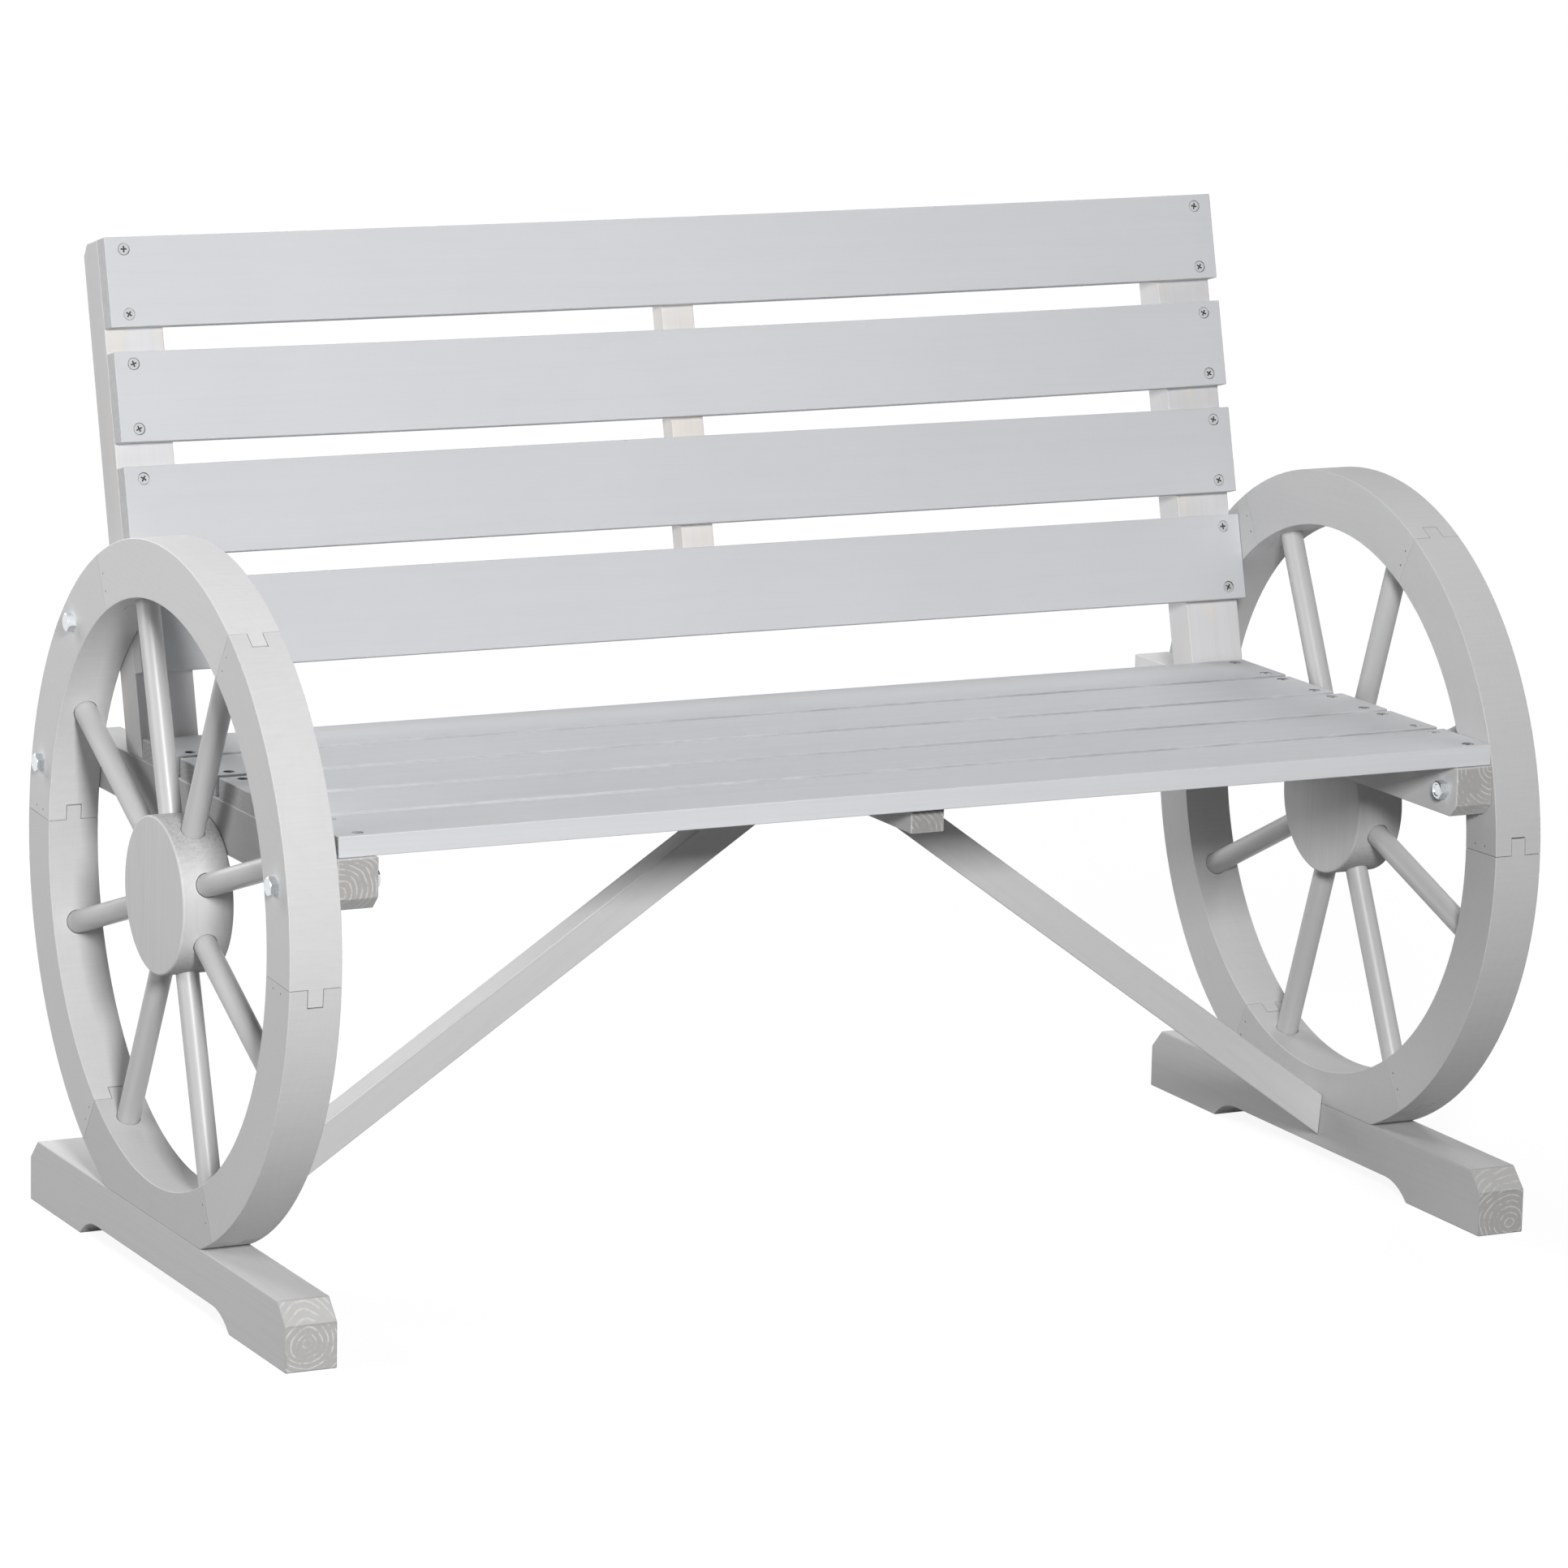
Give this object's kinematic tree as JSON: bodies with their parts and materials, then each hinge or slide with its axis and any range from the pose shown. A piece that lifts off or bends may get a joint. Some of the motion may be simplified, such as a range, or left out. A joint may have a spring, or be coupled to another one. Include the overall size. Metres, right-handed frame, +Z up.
{
  "type": "wagon wheel bench",
  "caption": "Garden bench with a slatted seat and raked slatted back carried between wooden wagon wheels that stand flat on long feet, with braces under the seat.",
  "frame": {"origin": "on the ground, at the middle of the bench's footprint", "axes": "+X along the bench to the sitter's left, +Y towards the back, +Z up"},
  "size_m": [1.0722, 0.5398, 0.7743],
  "materials": {
    "slat_paint": "pale grey wash, satin",
    "frame_paint": "pale grey wash, matt",
    "wheel_paint": "grey wash, matt",
    "zinc": "bright zinc plate"
  },
  "bodies": {
    "root": {"left_felloe_1": "wheel_paint", "left_felloe_2": "wheel_paint", "left_felloe_3": "wheel_paint", "left_felloe_4": "wheel_paint", "left_felloe_5": "wheel_paint", "left_felloe_6": "wheel_paint", "left_spoke_1": "wheel_paint", "left_spoke_2": "wheel_paint", "left_spoke_3": "wheel_paint", "left_spoke_4": "wheel_paint", "left_spoke_5": "wheel_paint", "left_spoke_6": "wheel_paint", "left_spoke_7": "wheel_paint", "left_spoke_8": "wheel_paint", "left_hub": "wheel_paint", "left_foot": "frame_paint", "left_bearer": "frame_paint", "left_upright": "frame_paint", "left_brace": "frame_paint", "left_back_bolt": "zinc", "left_rear_bolt": "zinc", "left_front_bolt": "zinc", "left_foot_screw_front": "zinc", "left_foot_screw_rear": "zinc", "right_felloe_1": "wheel_paint", "right_felloe_2": "wheel_paint", "right_felloe_3": "wheel_paint", "right_felloe_4": "wheel_paint", "right_felloe_5": "wheel_paint", "right_felloe_6": "wheel_paint", "right_spoke_1": "wheel_paint", "right_spoke_2": "wheel_paint", "right_spoke_3": "wheel_paint", "right_spoke_4": "wheel_paint", "right_spoke_5": "wheel_paint", "right_spoke_6": "wheel_paint", "right_spoke_7": "wheel_paint", "right_spoke_8": "wheel_paint", "right_hub": "wheel_paint", "right_foot": "frame_paint", "right_bearer": "frame_paint", "right_upright": "frame_paint", "right_brace": "frame_paint", "right_back_bolt": "zinc", "right_rear_bolt": "zinc", "right_front_bolt": "zinc", "right_foot_screw_front": "zinc", "right_foot_screw_rear": "zinc", "centre_bearer": "frame_paint", "centre_upright": "frame_paint", "seat_slat_1": "slat_paint", "seat_slat_2": "slat_paint", "seat_slat_3": "slat_paint", "seat_slat_4": "slat_paint", "seat_slat_5": "slat_paint", "back_slat_1": "slat_paint", "back_slat_2": "slat_paint", "back_slat_3": "slat_paint", "back_slat_4": "slat_paint"}
  },
  "joints": []
}
